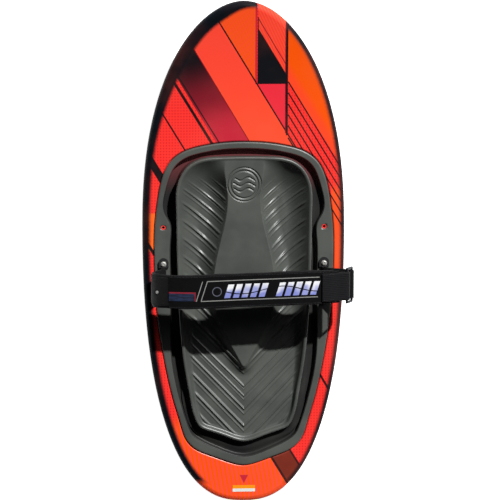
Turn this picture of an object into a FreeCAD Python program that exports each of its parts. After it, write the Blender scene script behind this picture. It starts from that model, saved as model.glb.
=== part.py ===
import FreeCAD, Part
import math
import os

# A kneeboard: a moulded hull on a foam core, an EVA knee pad set into the deck, and a padded knee strap
# held by two strap bars. Millimetres, +Z up, +Y towards the nose, +X to the kneeling rider's right.
# The origin is on the resting plane, under the middle of the board's length.

# Board
LENGTH = 1295.0
WIDTH = 516.0
WIDEST_Y = 60.0                 # the board is widest a little ahead of its middle
NOSE_SHAPE = (2.3, 0.53)        # exponents of the plan curve ahead of the widest point
TAIL_SHAPE = (2.3, 0.405)       # and behind it: blunter
DECK_Z = 64.0
NOSE_TIP_Z = (45.0, 87.0)       # bottom and top of the nose tip
NOSE_CURVE_Y = (120.0, 300.0)   # where bottom and deck start to rise towards the nose
TAIL_LIFT = 10.0
TAIL_CURVE_Y = -400.0
RAIL_TOP_R = 14.0
RAIL_BOTTOM_R = 22.0
SKIN = 4.0                      # moulded skin thickness
PARTING = 25.0                  # height of the deck-to-hull joint above the bottom
GROOVE = (118.0, 15.0, 3.0)     # bottom grooves: distance from the centre line, half-width, depth
GROOVE_Y = (-520.0, 120.0)

# Knee pad, half outlines from the nose side round to the tail side
FLANGE_HALF = [
    (0, 290), (60, 287), (114, 278), (158, 263), (187, 240), (206, 205), (216, 165), (222, 125),
    (227, 80), (229, 10), (227, -80), (220, -170), (203, -278), (181, -378), (162, -444),
    (151, -477), (131, -502), (84, -525), (38, -542), (0, -550),
]
CHANNEL_HALF = [
    (0, 272), (60, 269), (112, 260), (150, 247), (176, 224), (190, 192), (200, 155), (203, 125),
    (197, 104), (187, 86), (185, 40), (185, -60), (186, -160), (184, -262), (162, -378),
    (142, -444), (131, -467), (110, -484), (60, -508), (0, -525),
]
CREST_HALF = [
    (0, 250), (60, 249), (108, 244), (138, 229), (158, 203), (168, 170), (169, 125), (168, 60),
    (167, -20), (164, -120), (158, -210), (149, -290), (137, -359), (121, -428), (112, -443),
    (90, -454), (45, -470), (0, -483),
]
RIDGE_HALF = [
    (0, 275), (34, 268), (50, 230), (44, 180), (42, 140), (48, 90), (60, 40), (72, -15),
    (79, -75), (74, -140), (50, -215), (24, -265), (0, -292),
]
FLANGE_TOP = 67.0
FLANGE_POCKET_Z = 58.0
TUB_POCKET_Z = 40.0
CHANNEL_FLOOR_Z = 50.0
CREST_Z = (88.0, 72.0)          # crest of the tub, at the front and at the rear end
CREST_FALL_Y = (0.0, -480.0)
WELL_FLOOR_Z = (50.0, 62.0)     # floor of the knee wells, and of the rear end
WELL_RISE_Y = (-80.0, -380.0)
CREST_HALF_WIDTH = 3.8
CREST_STEP = 1.5
COVE_RATIO = 1.0                # width of the wells' coved walls, in wall heights
COVE_EXTRA = 6.0
FLOOR_GRID = (12.0, 12.0)       # spacing of the points that the tub's floor passes through
PAD_GAP = 1.0                   # between the pad and its pocket in the deck
TUB_WALL = 4.0                  # foam outside the channel, below the flange
LIP_R = 4.0

# Strap anchors: three threaded inserts on each side, a strap bar on the rear two
INSERT_X = 205.0
INSERT_PITCH = 93.0
ANCHOR_Y = -67.5
INSERT_R = 4.5
THREAD_R = 3.0
INSERT_TOP_Z = FLANGE_POCKET_Z - SKIN
INSERT_LENGTH = 18.0
BLOCK_X = (197.0, 221.0)
BLOCK_Z = (SKIN, INSERT_TOP_Z)
REAR_ROWS = (0, 1)              # rows of inserts that hold a strap bar, counted from the rear
ALL_ROWS = (0, 1, 2)
FREE_HOLE_R = 6.5
FOOT_WIDTH = 25.0
FOOT_HEIGHT = 6.0
FOOT_FRONT = 15.0               # from the screw's axis to the foot's outer end
CHEEK = (36.6, 39.2)            # the cheeks that hold the bar, along Y from the anchor's middle
CHEEK_TOP = 79.0
CHEEK_HALF_WIDTH = 7.0
BAR_R = 3.4
BAR_Z = 74.0
WASHER = (7.0, 3.2, 1.5)        # outer radius, hole radius, thickness
HEAD_R = 5.5
HEAD_HEIGHT = 3.6
HEX_SOCKET = (2.2, 2.0)         # radius and depth
SCREW_LENGTH = 34.0
RUNNING_GAP = 0.05

# Knee strap
WEB_WIDTH = 72.0
WEB = 2.4                       # webbing thickness
LOOP_GAP = 0.4                  # webbing to bar
LAYER_GAP = 0.15
TAIL_CLEARANCE = 0.5            # from the tail's hook patch to the loop panel under it
TURN_R = 53.0                   # the legs turn about the anchor bars outside this radius
TURN_GAP = 0.5
ARCH = [
    (-205, 80), (-213, 91), (-226, 107), (-235.5, 127), (-236, 144), (-225, 161), (-200, 173.5),
    (-150, 184), (-75, 189), (0, 190.5), (75, 190), (150, 187), (205, 180.5), (235, 170.5),
]
RING_UPPER = (255.0, 166.0)
RING_LOWER = (269.0, 144.0)
RING_Y = ANCHOR_Y + 3.0
RING_BAR_R = 3.2
RING_ARM_Y = 43.0
ARCH_END_ANGLE = -25.0          # slope of the webbing where it meets the ring
RIGHT_LEG = [(205, 80), (212, 90), (226, 102), (246, 115), (261, 129)]
PADDING = (-9.6, 43.0)          # inner face's distance from the webbing's middle, and half-width
PADDING_X = 222.0
COVER = (1.2, 41.5)             # thickness and half-width
COVER_START_X = -196.0
COVER_END_X = 236.0
LOOP_PANEL = (1.0, 34.0)
LOOP_PANEL_X = (188.0, 232.0)
HOOK_PATCH = 1.0
HOOK_PATCH_X = (193.0, 229.0)
TAIL_END_X = 190.0
TAIL_SETTLE = 0.45              # share of the tail's length in which it comes down from the ring
TAIL_CUT_R = 8.0
LABEL_X = (-194.0, -126.0)
LABEL_Y = (-97.0, -74.0)
LABEL = 0.8
RIVET_X = -222.0
RIVET_Y = -77.0
RIVET_R = 2.6
RIVET_HEAD = (4.0, 1.4)
DECK_LABEL = (29.0, 17.0, 0.35)  # half-width, length and thickness of the label on the tail
DECK_LABEL_Y = -621.0

# Construction
FAR = 2000.0
CURVE_STEPS = 14
OUTLINE_STEPS = 240
FRAME_STEP = 5                  # every fifth frame of a path carries a point of its splines
FAN_STEPS = 4
FAN_REACH = 4.0                 # size of the fan that cuts a wrap, in wrap radii
LEVEL_SLOPE = 0.5               # an edge that climbs less than this counts as level
EDGE_REACH = 1.0                # how far an edge may lie from the outline that it is picked by
SAME_PLACE = 0.01


# ---- plane curves ----

def half_width(t, shape):
    """Half-width of the board's plan at the fraction t of the way from the widest point to a tip."""
    return WIDTH / 2 * (1 - t ** shape[0]) ** shape[1]


def board_half():
    """Right half of the plan, from the nose tip to the tail tip."""
    points = []
    for step in range(2 * CURVE_STEPS + 1):
        angle = math.pi / 2 * (1 - step / CURVE_STEPS)
        shape = NOSE_SHAPE if angle >= 0 else TAIL_SHAPE
        reach = LENGTH / 2 - WIDEST_Y if angle >= 0 else LENGTH / 2 + WIDEST_Y
        t = math.sin(abs(angle)) ** (2 / shape[0])
        points.append((half_width(t, shape), WIDEST_Y + math.copysign(reach * t, angle)))
    return points


def both_halves(half):
    """A closed outline from its right half."""
    return half + [(-x, y) for x, y in reversed(half[1:-1])]


def offset(outline, distance):
    """The closed outline moved outwards by a distance."""
    moved = []
    for i, (x, y) in enumerate(outline):
        before = outline[i - 1]
        after = outline[(i + 1) % len(outline)]
        dx = after[0] - before[0]
        dy = after[1] - before[1]
        size = math.hypot(dx, dy)
        moved.append((x - dy / size * distance, y + dx / size * distance))
    return moved


def outline_edge(outline, z=0.0):
    curve = Part.BSplineCurve()
    curve.interpolate(Points=[FreeCAD.Vector(x, y, z) for x, y in outline], PeriodicFlag=True)
    return curve.toShape()


def dense(outline):
    return [(p.x, p.y) for p in outline_edge(outline).discretize(Number=OUTLINE_STEPS)]


def distance_to(outline, x, y):
    """Distance from a point to a closed outline of straight pieces."""
    best = FAR
    for (ax, ay), (bx, by) in zip(outline, outline[1:] + outline[:1]):
        dx = bx - ax
        dy = by - ay
        along = ((x - ax) * dx + (y - ay) * dy) / (dx * dx + dy * dy)
        along = min(max(along, 0.0), 1.0)
        best = min(best, math.hypot(x - ax - along * dx, y - ay - along * dy))
    return best


def inside(outline, x, y):
    crossings = 0
    for (ax, ay), (bx, by) in zip(outline, outline[1:] + outline[:1]):
        if (ay > y) != (by > y) and x < ax + (y - ay) * (bx - ax) / (by - ay):
            crossings += 1
    return crossings % 2 == 1


# ---- solids ----

def prism(outline, low, high):
    face = Part.Face(Part.Wire([outline_edge(outline, low)]))
    return face.extrude(FreeCAD.Vector(0, 0, high - low))


def block(x, y, z):
    """A box from its (low, high) pairs."""
    corner = FreeCAD.Vector(x[0], y[0], z[0])
    return Part.makeBox(x[1] - x[0], y[1] - y[0], z[1] - z[0], corner)


def upright(radius, x, y, low, high):
    return Part.makeCylinder(radius, high - low, FreeCAD.Vector(x, y, low))


def bar_along_y(radius, x, z, low, high):
    return Part.makeCylinder(radius, high - low, FreeCAD.Vector(x, low, z), FreeCAD.Vector(0, 1, 0))


def side_section(edges, half_span):
    """A solid whose outline, given in the YZ plane as edges, is carried across the board."""
    face = Part.Face(Part.Wire(Part.__sortEdges__(edges)))
    face.translate(FreeCAD.Vector(-half_span, 0, 0))
    return face.extrude(FreeCAD.Vector(2 * half_span, 0, 0))


def yz(y, z):
    return FreeCAD.Vector(0, y, z)


def rise_arc(start_y, end_y, start_z, end_z):
    """An arc level at its start and risen at its end."""
    run = end_y - start_y
    rise = end_z - start_z
    radius = (run * run + rise * rise) / (2 * rise)
    half = math.asin(abs(run) / radius) / 2
    middle_y = start_y + math.copysign(radius * math.sin(half), run)
    middle = yz(middle_y, start_z + radius * (1 - math.cos(half)))
    return Part.Arc(yz(start_y, start_z), middle, yz(end_y, end_z)).toShape()


def hull_section(inset):
    """Side view of the board, shrunk by an inset."""
    nose = LENGTH / 2
    tail = -LENGTH / 2
    bottom = inset
    deck = DECK_Z - inset
    nose_low = NOSE_TIP_Z[0] + inset
    nose_high = NOSE_TIP_Z[1] - inset
    return [
        rise_arc(NOSE_CURVE_Y[0], nose, bottom, nose_low),
        Part.makeLine(yz(nose, nose_low), yz(nose, nose_high)),
        rise_arc(NOSE_CURVE_Y[1], nose, deck, nose_high),
        Part.makeLine(yz(NOSE_CURVE_Y[1], deck), yz(tail, deck)),
        Part.makeLine(yz(tail, deck), yz(tail, TAIL_LIFT + inset)),
        rise_arc(TAIL_CURVE_Y, tail, bottom, TAIL_LIFT + inset),
        Part.makeLine(yz(TAIL_CURVE_Y, bottom), yz(NOSE_CURVE_Y[0], bottom)),
    ]


def hull_body(inset):
    """The whole board as one solid with rounded rails, shrunk by an inset."""
    plan = offset(both_halves(board_half()), -inset)
    body = prism(plan, -SKIN, NOSE_TIP_Z[1] + SKIN).common(side_section(hull_section(inset), WIDTH))
    rim = dense(plan)
    upper = []
    lower = []
    for edge in body.Edges:
        middle = edge.valueAt((edge.FirstParameter + edge.LastParameter) / 2)
        level = abs(edge.tangentAt(edge.FirstParameter).z) < LEVEL_SLOPE
        if level and distance_to(rim, middle.x, middle.y) < EDGE_REACH:
            (upper if middle.z > DECK_Z / 2 + nose_rise(middle.y) else lower).append(edge)
    body = body.makeFillet(RAIL_TOP_R - inset, upper)
    lower = [e for e in body.Edges if any(same_place(e, old) for old in lower)]
    return body.makeFillet(RAIL_BOTTOM_R - inset, lower)


def same_place(edge, other):
    return (edge.CenterOfMass - other.CenterOfMass).Length < SAME_PLACE


def nose_rise(y):
    """How far the middle of the hull's thickness has risen at y."""
    along = max(y - NOSE_CURVE_Y[0], 0) / (LENGTH / 2 - NOSE_CURVE_Y[0])
    return (sum(NOSE_TIP_Z) - DECK_Z) / 2 * along * along


def below_parting():
    """Everything under the deck-to-hull joint, which follows the bottom's rise."""
    nose = LENGTH / 2 + SKIN
    tail = -nose
    edges = [
        rise_arc(NOSE_CURVE_Y[0], nose, PARTING, NOSE_TIP_Z[0] + PARTING),
        Part.makeLine(yz(nose, NOSE_TIP_Z[0] + PARTING), yz(nose, -FAR)),
        Part.makeLine(yz(nose, -FAR), yz(tail, -FAR)),
        Part.makeLine(yz(tail, -FAR), yz(tail, TAIL_LIFT + PARTING)),
        rise_arc(TAIL_CURVE_Y, tail, PARTING, TAIL_LIFT + PARTING),
        Part.makeLine(yz(TAIL_CURVE_Y, PARTING), yz(NOSE_CURVE_Y[0], PARTING)),
    ]
    return side_section(edges, WIDTH)


def groove(side, grow):
    """A round-ended groove in the bottom, grown by a margin."""
    x = side * GROOVE[0]
    half = GROOVE[1] + grow
    depth = GROOVE[2] + grow
    ends = [upright(half, x, y, -SKIN, depth) for y in GROOVE_Y]
    return block((x - half, x + half), GROOVE_Y, (-SKIN, depth)).fuse(ends)


def insert_positions(side, rows):
    return [(side * INSERT_X, ANCHOR_Y + (row - 0.5) * INSERT_PITCH) for row in rows]


def pocket(grow):
    """The two-step pocket for the knee pad, grown by a margin."""
    step = prism(offset(both_halves(FLANGE_HALF), PAD_GAP + grow), FLANGE_POCKET_Z - grow, FAR)
    tub_outline = offset(both_halves(CHANNEL_HALF), TUB_WALL + PAD_GAP + grow)
    return step.fuse(prism(tub_outline, TUB_POCKET_Z - grow, FAR))


def insert_block(side):
    """Dense block in the foam that the inserts are screwed into."""
    ends = insert_positions(side, ALL_ROWS)
    y = (ends[0][1] - 2 * INSERT_R, ends[-1][1] + 2 * INSERT_R)
    x = sorted(side * value for value in BLOCK_X)
    return block(x, y, BLOCK_Z)


def inserts(side):
    """Three threaded brass inserts."""
    low = INSERT_TOP_Z - INSERT_LENGTH
    shells = []
    for x, y in insert_positions(side, ALL_ROWS):
        shell = upright(INSERT_R, x, y, low, INSERT_TOP_Z + SKIN)
        shells.append(shell.cut(upright(THREAD_R, x, y, low + SKIN, FAR)))
    return Part.makeCompound(shells)


def drill(shape, radius, places, low=-FAR, high=FAR):
    for x, y in places:
        shape = shape.cut(upright(radius, x, y, low, high))
    return shape


# ---- knee pad ----

def blend_value(y, y_range, values):
    """A value that changes evenly from values[0] to values[1] over a range of y."""
    along = (y - y_range[0]) / (y_range[1] - y_range[0])
    along = min(max(along, 0.0), 1.0)
    return values[0] + along * (values[1] - values[0])


def cove(distance, run):
    """1 at no distance, falling steeply and then levelling out to 0 at the run."""
    return max(1 - distance / run, 0.0) ** 2


def floor_height(x, y, wall, ridge):
    """Height of the tub's floor: coved walls round it and a ridge between the knee wells."""
    top = blend_value(y, CREST_FALL_Y, CREST_Z) - CREST_STEP
    floor = blend_value(y, WELL_RISE_Y, WELL_FLOOR_Z)
    run = COVE_RATIO * (top - floor) + COVE_EXTRA
    by_wall = cove(distance_to(wall, x, y), run) if inside(wall, x, y) else 1.0
    by_ridge = 1.0 if inside(ridge, x, y) else cove(distance_to(ridge, x, y), run)
    return floor + (top - floor) * (1 - (1 - by_wall) * (1 - by_ridge))


def tub_hollow():
    """What is taken out of the tub: everything above its floor, inside its crest."""
    wall_outline = offset(both_halves(CREST_HALF), -CREST_HALF_WIDTH)
    wall = dense(wall_outline)
    ridge = dense(both_halves(RIDGE_HALF))
    span_x = max(x for x, y in wall) + FLOOR_GRID[0]
    low_y = min(y for x, y in wall) - FLOOR_GRID[1]
    high_y = max(y for x, y in wall) + FLOOR_GRID[1]
    count_x = round(2 * span_x / FLOOR_GRID[0])
    count_y = round((high_y - low_y) / FLOOR_GRID[1])
    rows = []
    for i in range(count_x + 1):
        x = -span_x + 2 * span_x * i / count_x
        ys = [low_y + (high_y - low_y) * j / count_y for j in range(count_y + 1)]
        rows.append([FreeCAD.Vector(x, y, floor_height(x, y, wall, ridge)) for y in ys])
    surface = Part.BSplineSurface()
    surface.interpolate(rows)
    above = surface.toShape().extrude(FreeCAD.Vector(0, 0, DECK_Z))
    return above.common(prism(wall_outline, CHANNEL_FLOOR_Z - SKIN, DECK_Z + CREST_Z[0]))


def crest_slope():
    """Everything above the crest, which falls towards the rear."""
    edges = Part.makePolygon([
        yz(-LENGTH, CREST_Z[1]), yz(CREST_FALL_Y[1], CREST_Z[1]), yz(CREST_FALL_Y[0], CREST_Z[0]),
        yz(LENGTH, CREST_Z[0]), yz(LENGTH, FAR), yz(-LENGTH, FAR), yz(-LENGTH, CREST_Z[1]),
    ]).Edges
    return side_section(edges, WIDTH)


def knee_pad():
    channel = both_halves(CHANNEL_HALF)
    crest = offset(both_halves(CREST_HALF), CREST_HALF_WIDTH)
    flange = prism(both_halves(FLANGE_HALF), FLANGE_POCKET_Z, FLANGE_TOP)
    base = prism(offset(channel, TUB_WALL), TUB_POCKET_Z, FLANGE_POCKET_Z)
    tub = prism(crest, CHANNEL_FLOOR_Z, CREST_Z[0]).cut(crest_slope())
    pad = flange.fuse(base).cut(prism(channel, CHANNEL_FLOOR_Z, FAR)).fuse(tub)
    pad = pad.cut(tub_hollow())
    holes = insert_positions(-1, ALL_ROWS) + insert_positions(1, ALL_ROWS)
    pad = drill(pad, FREE_HOLE_R, holes, FLANGE_POCKET_Z)
    return pad.removeSplitter()


# ---- strap anchors ----

def anchor_plate(side):
    """A strap bar: two screwed feet, each with a cheek, and a round bar between the cheeks."""
    x = side * INSERT_X
    half = FOOT_WIDTH / 2
    plate = bar_along_y(BAR_R, x, BAR_Z, ANCHOR_Y - CHEEK[1], ANCHOR_Y + CHEEK[1])
    for end in (-1, 1):
        screw_y = ANCHOR_Y + end * INSERT_PITCH / 2
        outer_y = screw_y + end * (FOOT_FRONT - half)
        inner_y = ANCHOR_Y + end * CHEEK[0]
        cheek_y = sorted((inner_y, ANCHOR_Y + end * CHEEK[1]))
        foot = block((x - half, x + half), sorted((inner_y, outer_y)), (FLANGE_TOP, FLANGE_TOP + FOOT_HEIGHT))
        foot = foot.fuse(upright(half, x, outer_y, FLANGE_TOP, FLANGE_TOP + FOOT_HEIGHT))
        cheek = block((x - CHEEK_HALF_WIDTH, x + CHEEK_HALF_WIDTH), cheek_y, (FLANGE_TOP, CHEEK_TOP))
        plate = plate.fuse([foot, cheek])
    return drill(plate.removeSplitter(), WASHER[1], insert_positions(side, REAR_ROWS))


def anchor_washers(side):
    low = FLANGE_TOP + FOOT_HEIGHT
    rings = []
    for x, y in insert_positions(side, REAR_ROWS):
        ring = upright(WASHER[0], x, y, low, low + WASHER[2])
        rings.append(ring.cut(upright(WASHER[1], x, y, low, FAR)))
    return Part.makeCompound(rings)


def anchor_screws(side):
    """Two pan-head screws with a hexagon socket."""
    seat = FLANGE_TOP + FOOT_HEIGHT + WASHER[2]
    screws = []
    for x, y in insert_positions(side, REAR_ROWS):
        head = upright(HEAD_R, x, y, seat, seat + HEAD_HEIGHT)
        rim = [e for e in head.Edges if e.CenterOfMass.z > seat + HEAD_HEIGHT - SAME_PLACE]
        head = head.makeFillet(HEAD_HEIGHT / 2, rim)
        shank = upright(THREAD_R - RUNNING_GAP, x, y, seat - SCREW_LENGTH, seat)
        socket = Part.makePolygon([
            FreeCAD.Vector(x + HEX_SOCKET[0] * math.cos(math.radians(turn)),
                           y + HEX_SOCKET[0] * math.sin(math.radians(turn)), seat + HEAD_HEIGHT)
            for turn in range(0, 361, 60)
        ])
        socket = Part.Face(Part.Wire(socket.Edges)).extrude(FreeCAD.Vector(0, 0, -HEX_SOCKET[1]))
        screws.append(head.fuse(shank).cut(socket))
    return Part.makeCompound(screws)


# ---- strap ----

def path_frames(points):
    """Evenly taken (x, z, normal x, normal z) along a smooth line in the XZ plane; normals point outwards."""
    curve = Part.BSplineCurve()
    curve.interpolate(Points=[FreeCAD.Vector(x, 0, z) for x, z in points])
    edge = curve.toShape()
    frames = []
    for place in edge.discretize(Number=OUTLINE_STEPS):
        tangent = edge.tangentAt(curve.parameter(place))
        frames.append((place.x, place.z, -tangent.z, tangent.x))
    return frames


def side_points(frames, distance):
    return [FreeCAD.Vector(x + nx * distance, 0, z + nz * distance) for x, z, nx, nz in frames]


def thinned(frames):
    """Every so many of the frames, with both ends kept."""
    kept = frames[::FRAME_STEP]
    return kept if kept[-1] is frames[-1] else kept + [frames[-1]]


def spline(points):
    curve = Part.BSplineCurve()
    curve.interpolate(Points=points)
    return curve.toShape()


def ribbon(frames, inner, outer, y_low, y_high):
    """A strip between two distances from the path, carried along Y."""
    some = thinned(frames)
    low = side_points(some, inner)
    high = side_points(some, outer)
    end = Part.makeLine(low[-1], high[-1])
    start = Part.makeLine(high[0], low[0])
    face = Part.Face(Part.Wire([spline(low), end, spline(high[::-1]), start]))
    face.translate(FreeCAD.Vector(0, y_low, 0))
    return face.extrude(FreeCAD.Vector(0, y_high - y_low, 0))


def between(frames, x_low, x_high):
    """The frames of the upper part of the arch whose x lies in a range."""
    return [f for f in frames if x_low <= f[0] <= x_high and f[3] > 0]


def unit(angle):
    return (math.cos(math.radians(angle)), math.sin(math.radians(angle)))


def wrap_radius():
    return RING_BAR_R + LOOP_GAP + WEB / 2


def arch_points():
    """The arch's path, ending tangent to the ring's upper bar, on its underside."""
    along = unit(ARCH_END_ANGLE)
    end = (RING_UPPER[0] + wrap_radius() * along[1], RING_UPPER[1] - wrap_radius() * along[0])
    return ARCH + [end]


def turned_wrap(centre, start, sweep, y_low, y_high):
    """Webbing bent round a bar, from a start angle through a sweep."""
    radius = wrap_radius()
    outer = bar_along_y(radius + WEB / 2, centre[0], centre[1], y_low, y_high)
    inner = bar_along_y(radius - WEB / 2, centre[0], centre[1], y_low, y_high)
    size = FAN_REACH * radius
    corners = [FreeCAD.Vector(centre[0], y_low, centre[1])]
    for step in range(FAN_STEPS + 1):
        c, s = unit(start + sweep * step / FAN_STEPS)
        corners.append(FreeCAD.Vector(centre[0] + size * c, y_low, centre[1] + size * s))
    fan = Part.Face(Part.makePolygon(corners + corners[:1])).extrude(FreeCAD.Vector(0, y_high - y_low, 0))
    return outer.cut(inner).common(fan)


def turn_zone(radius):
    """A cylinder across the board, about the axis that the strap turns on."""
    start = FreeCAD.Vector(-FAR, ANCHOR_Y, BAR_Z)
    return Part.makeCylinder(radius, 2 * FAR, start, FreeCAD.Vector(1, 0, 0))


def web_span(middle):
    return middle - WEB_WIDTH / 2, middle + WEB_WIDTH / 2


def leg(frames, middle):
    """A strap leg: two layers of webbing sewn together."""
    return ribbon(frames, -WEB, WEB, *web_span(middle))


def anchor_webbing(side, frames):
    """The webbing loop round an anchor bar, and the foot of its leg up to where the strap turns."""
    x = side * INSERT_X
    low, high = web_span(ANCHOR_Y)
    loop = bar_along_y(BAR_R + LOOP_GAP + WEB, x, BAR_Z, low, high)
    foot = loop.fuse(leg(frames, ANCHOR_Y))
    foot = foot.cut(bar_along_y(BAR_R + LOOP_GAP, x, BAR_Z, low, high))
    return foot.common(turn_zone(TURN_R - TURN_GAP)).removeSplitter()


def strap_webbing(frames):
    """One layer from the top of the left leg over the arch and round the ring's upper bar."""
    low, high = web_span(ANCHOR_Y)
    start = ARCH_END_ANGLE - 90
    wrap = turned_wrap(RING_UPPER, start, 180, low, high)
    body = ribbon(frames, -WEB / 2, WEB / 2, low, high).fuse(wrap)
    return body.cut(turn_zone(TURN_R)).removeSplitter()


def ring_webbing(frames):
    """The webbing that holds the ring's lower bar, down to where the strap turns."""
    low, high = web_span(RING_Y)
    loop = bar_along_y(RING_BAR_R + LOOP_GAP + WEB, RING_LOWER[0], RING_LOWER[1], low, high)
    body = loop.fuse(leg(frames, RING_Y))
    body = body.cut(bar_along_y(RING_BAR_R + LOOP_GAP, RING_LOWER[0], RING_LOWER[1], low, high))
    return body.cut(turn_zone(TURN_R)).removeSplitter()


def strap_ring():
    """A rectangular ring of round bar."""
    corners = [(bar, RING_Y + end * RING_ARM_Y) for end, bar in (
        (-1, RING_UPPER), (1, RING_UPPER), (1, RING_LOWER), (-1, RING_LOWER))]
    places = [FreeCAD.Vector(bar[0], y, bar[1]) for bar, y in corners]
    ring = Part.makeSphere(RING_BAR_R, places[0])
    for start, end in zip(places, places[1:] + places[:1]):
        rod = Part.makeCylinder(RING_BAR_R, (end - start).Length, start, end - start)
        ring = ring.fuse([rod, Part.makeSphere(RING_BAR_R, end)])
    return ring.removeSplitter()


def tail_frames(frames):
    """The tail's path back over the arch: off the ring's bar, then down onto the cover."""
    under = WEB / 2 + LAYER_GAP + COVER[0] + LAYER_GAP + LOOP_PANEL[0]
    lying = under + TAIL_CLEARANCE + HOOK_PATCH + LAYER_GAP + WEB / 2
    standing = 2 * wrap_radius()
    over = between(frames, TAIL_END_X, RING_UPPER[0])
    settle = TAIL_SETTLE * (RING_UPPER[0] - TAIL_END_X)
    points = []
    for x, z, nx, nz in thinned(over):
        near_ring = (1 + math.cos(math.pi * min((RING_UPPER[0] - x) / settle, 1.0))) / 2
        lift = lying + (standing - lying) * near_ring
        points.append((x + nx * lift, z + nz * lift))
    return path_frames(points)


def strap_tail(frames):
    low, high = web_span(ANCHOR_Y)
    tail = ribbon(frames, -WEB / 2, WEB / 2, low, high)
    return tail.cut(bar_along_y(TAIL_CUT_R, RING_UPPER[0], RING_UPPER[1], low, high))


def hook_patch(frames):
    """The hook side of the fastener, sewn under the tail."""
    outer = -WEB / 2 - LAYER_GAP
    some = between(frames, *HOOK_PATCH_X)
    return ribbon(some, outer - HOOK_PATCH, outer, *half_span(LOOP_PANEL[1]))


def half_span(half):
    return ANCHOR_Y - half, ANCHOR_Y + half


def rivet(frames):
    """A rivet through the padding and webbing at the left shoulder, with a head on each side."""
    x, z, nx, nz = min((f for f in frames if f[1] > RING_LOWER[1]), key=lambda f: abs(f[0] - RIVET_X))
    outward = FreeCAD.Vector(nx, 0, nz)
    middle = FreeCAD.Vector(x, RIVET_Y, z)
    inner = middle + outward * (PADDING[0] - LAYER_GAP)
    outer = middle + outward * (WEB / 2 + LAYER_GAP)
    shank = Part.makeCylinder(RIVET_R, (outer - inner).Length, inner, outward)
    outer_head = Part.makeCylinder(RIVET_HEAD[0], RIVET_HEAD[1], outer, outward)
    inner_head = Part.makeCylinder(RIVET_HEAD[0], RIVET_HEAD[1], inner, outward * -1)
    return shank.fuse([outer_head, inner_head]).removeSplitter()


def strap_parts():
    """Every piece of the strap assembly, by name."""
    arch = path_frames(arch_points())
    left_leg = [f for f in arch if f[0] < 0 and f[1] < BAR_Z + TURN_R + WEB]
    right = path_frames(RIGHT_LEG + [(RING_LOWER[0] - WEB / 2, RING_LOWER[1] - wrap_radius())])
    right_leg = [(x, z, -nx, -nz) for x, z, nx, nz in right]
    tail = tail_frames(arch)
    strap_rivet = rivet(arch)
    cover_low = WEB / 2 + LAYER_GAP
    cover_high = cover_low + COVER[0]
    panel_low = cover_high + LAYER_GAP
    top = [f for f in arch if f[1] > BAR_Z + TURN_R + WEB and f[0] < PADDING_X]
    padding = ribbon(top, PADDING[0], -WEB / 2 - LAYER_GAP, *half_span(PADDING[1]))
    cover = ribbon(between(arch, COVER_START_X, COVER_END_X), cover_low, cover_high, *half_span(COVER[1]))
    return {
        "anchor_webbing_left": anchor_webbing(-1, left_leg),
        "anchor_webbing_right": anchor_webbing(1, right_leg),
        "strap_webbing": strap_webbing(arch).cut(strap_rivet),
        "strap_padding": padding.cut(strap_rivet),
        "strap_cover": cover,
        "loop_panel": ribbon(between(arch, *LOOP_PANEL_X), panel_low, panel_low + LOOP_PANEL[0],
                             *half_span(LOOP_PANEL[1])),
        "strap_ring": strap_ring(),
        "ring_webbing": ring_webbing(right_leg),
        "woven_label": ribbon(between(arch, *LABEL_X), panel_low, panel_low + LABEL, *LABEL_Y),
        "strap_rivet": strap_rivet,
        "strap_tail": strap_tail(tail),
        "hook_patch": hook_patch(tail),
    }


# ---- board ----

def board_parts():
    """Skins, core, insert blocks and inserts, by name."""
    whole = hull_body(0.0)
    inner = hull_body(SKIN)
    low_half = below_parting()
    space = inner.cut(pocket(SKIN))
    outer = whole.cut(pocket(0.0))
    for side in (-1, 1):
        space = space.cut(groove(side, SKIN))
        outer = outer.cut(groove(side, 0.0))
    skin = outer.cut(space)
    deck = skin.cut(low_half)
    lip = [e for e in deck.Edges if on_deck_lip(e)]
    deck = deck.makeFillet(LIP_R, lip)
    core = space
    parts = {"hull_shell": skin.common(low_half)}
    for side, name in ((-1, "left"), (1, "right")):
        places = insert_positions(side, ALL_ROWS)
        body = insert_block(side).common(inner)
        core = core.cut(body)
        deck = drill(deck, INSERT_R, places)
        low = INSERT_TOP_Z - INSERT_LENGTH
        parts["insert_block_" + name] = drill(body, INSERT_R, places, low)
        parts["threaded_inserts_" + name] = inserts(side)
    parts["deck_shell"] = deck
    parts["foam_core"] = core
    return parts


def on_deck_lip(edge):
    """True for the edge where the flat deck meets the pad's pocket."""
    box = edge.BoundBox
    flat = max(abs(box.ZMin - DECK_Z), abs(box.ZMax - DECK_Z)) < SAME_PLACE
    middle = edge.valueAt((edge.FirstParameter + edge.LastParameter) / 2)
    ring = dense(offset(both_halves(FLANGE_HALF), PAD_GAP))
    return flat and distance_to(ring, middle.x, middle.y) < EDGE_REACH


def deck_label():
    y = (DECK_LABEL_Y, DECK_LABEL_Y + DECK_LABEL[1])
    return block((-DECK_LABEL[0], DECK_LABEL[0]), y, (DECK_Z, DECK_Z + DECK_LABEL[2]))


def all_parts():
    parts = board_parts()
    parts["knee_pad"] = knee_pad()
    parts["deck_label"] = deck_label()
    for side, name in ((-1, "left"), (1, "right")):
        parts["anchor_plate_" + name] = anchor_plate(side)
        parts["anchor_washers_" + name] = anchor_washers(side)
        parts["anchor_screws_" + name] = anchor_screws(side)
    parts.update(strap_parts())
    return parts


os.makedirs("parts", exist_ok=True)
for node, shape in all_parts().items():
    if not shape.isValid():
        print("not valid:", node)
    shape.exportStep("parts/" + node + ".step")
    box = shape.BoundBox
    print(node, len(shape.Solids), round(shape.Volume / 1000, 1), "cm3",
          [round(v, 1) for v in (box.XMin, box.XMax, box.YMin, box.YMax, box.ZMin, box.ZMax)])
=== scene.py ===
import bpy
import bmesh
import math
import numpy as np
from functools import reduce
from mathutils import Matrix, Vector

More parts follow.
